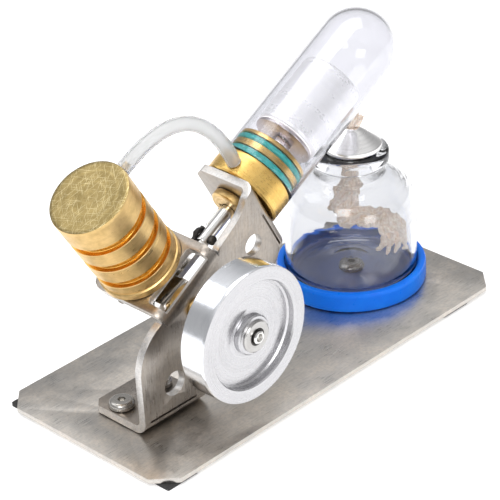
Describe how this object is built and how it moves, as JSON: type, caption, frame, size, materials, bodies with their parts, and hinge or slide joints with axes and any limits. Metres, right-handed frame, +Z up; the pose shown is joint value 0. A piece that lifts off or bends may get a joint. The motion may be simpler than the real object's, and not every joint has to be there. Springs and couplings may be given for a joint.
{
  "type": "stirling engine model",
  "caption": "Desk-top hot-air engine on a steel base: slanted glass hot cylinder, finned brass power cylinder, bent steel bracket, flywheel, air hose and a glass spirit lamp.",
  "frame": {"origin": "on the floor, under the middle of the whole engine's box", "axes": "+X along the base plate from the engine's foot towards the lamp, +Y from the flywheel side to the back, parallel to the crankshaft, +Z up"},
  "size_m": [0.152, 0.0742, 0.0973],
  "materials": {
    "plate_steel": "fine brushed stainless sheet with a warm tint",
    "polished_steel": "polished steel",
    "dark_steel": "blackened steel, semi-gloss",
    "aluminium": "turned aluminium, fine lathe marks",
    "brass": "turned brass, lightly tarnished with fine scratches",
    "teal_rubber": "teal O-ring rubber, satin",
    "black_rubber": "matt black foam rubber",
    "glass": "clear blown glass",
    "silicone": "translucent milky silicone hose, satin",
    "blue_aluminium": "vivid blue, semi-gloss",
    "cotton": "undyed twisted cotton"
  },
  "bodies": {
    "engine_frame": {"base_plate": "plate_steel", "rubber_foot_1": "black_rubber", "rubber_foot_2": "black_rubber", "rubber_foot_3": "black_rubber", "rubber_foot_4": "black_rubber", "bracket": "plate_steel", "bracket_screw_1": "polished_steel", "bracket_screw_2": "polished_steel", "main_bearing": "brass", "power_cylinder": "brass", "cylinder_screw_1": "polished_steel", "cylinder_screw_2": "polished_steel", "power_port_nipple": "brass", "displacer_housing": "brass", "displacer_port_nipple": "brass", "displacer_gland": "brass", "o_ring_lower": "teal_rubber", "o_ring_upper": "teal_rubber", "glass_hot_cap": "glass", "air_hose": "silicone", "lamp_holder": "blue_aluminium", "lamp_holder_screw": "polished_steel"},
    "crank": {"crankshaft": "polished_steel", "flywheel": "aluminium", "flywheel_grub_screw": "dark_steel", "crank_web": "polished_steel", "crank_pin": "polished_steel"},
    "displacer_rod_link": {"displacer_link": "dark_steel", "link_pin": "polished_steel"},
    "power_rod_link": {"power_rod": "polished_steel", "power_wrist_pin": "polished_steel"},
    "guide_dowel": {"straight_line_dowel": "polished_steel"},
    "displacer_assembly": {"displacer": "aluminium", "displacer_end_cap": "brass", "displacer_nut": "brass", "displacer_rod": "polished_steel", "guide_wire": "polished_steel", "cross_pin": "dark_steel"},
    "piston": {"power_piston": "aluminium"},
    "lamp": {"lamp_bottle": "glass", "lamp_cone_cap": "aluminium", "lamp_wick": "cotton"}
  },
  "joints": [
    {"name": "crank_spin", "type": "hinge", "parent": "engine_frame", "child": "crank", "pos_m": [-0.0392, 0, 0.037], "axis": [0, 1, 0], "continuous": true},
    {"name": "displacer_link_turn", "type": "hinge", "parent": "crank", "child": "displacer_rod_link", "pos_m": [-0.04289, 0.0025, 0.035], "axis": [0, 1, 0], "continuous": true},
    {"name": "power_rod_turn", "type": "hinge", "parent": "crank", "child": "power_rod_link", "pos_m": [-0.04289, 0.0081, 0.035], "axis": [0, 1, 0], "continuous": true},
    {"name": "dowel_turn", "type": "hinge", "parent": "crank", "child": "guide_dowel", "pos_m": [-0.04105, -0.002, 0.036], "axis": [0, 1, 0], "continuous": true},
    {"name": "displacer_guide", "type": "hinge", "parent": "guide_dowel", "child": "displacer_assembly", "pos_m": [-0.04289, 0.0025, 0.035], "axis": [0, 1, 0], "continuous": true},
    {"name": "piston_guide", "type": "hinge", "parent": "guide_dowel", "child": "piston", "pos_m": [-0.03929, 0.0081, 0.03716], "axis": [0, 1, 0], "continuous": true},
    {"name": "lamp_lift", "type": "slide", "parent": "engine_frame", "child": "lamp", "axis": [0, 0, 1], "range_m": [0, 0.006]}
  ],
  "couplings": [
    {"joint": "displacer_link_turn", "follows": "crank_spin", "ratio": -1},
    {"joint": "power_rod_turn", "follows": "crank_spin", "ratio": -1},
    {"joint": "dowel_turn", "follows": "crank_spin", "ratio": -2},
    {"joint": "displacer_guide", "follows": "crank_spin", "ratio": 1},
    {"joint": "piston_guide", "follows": "crank_spin", "ratio": 1}
  ]
}
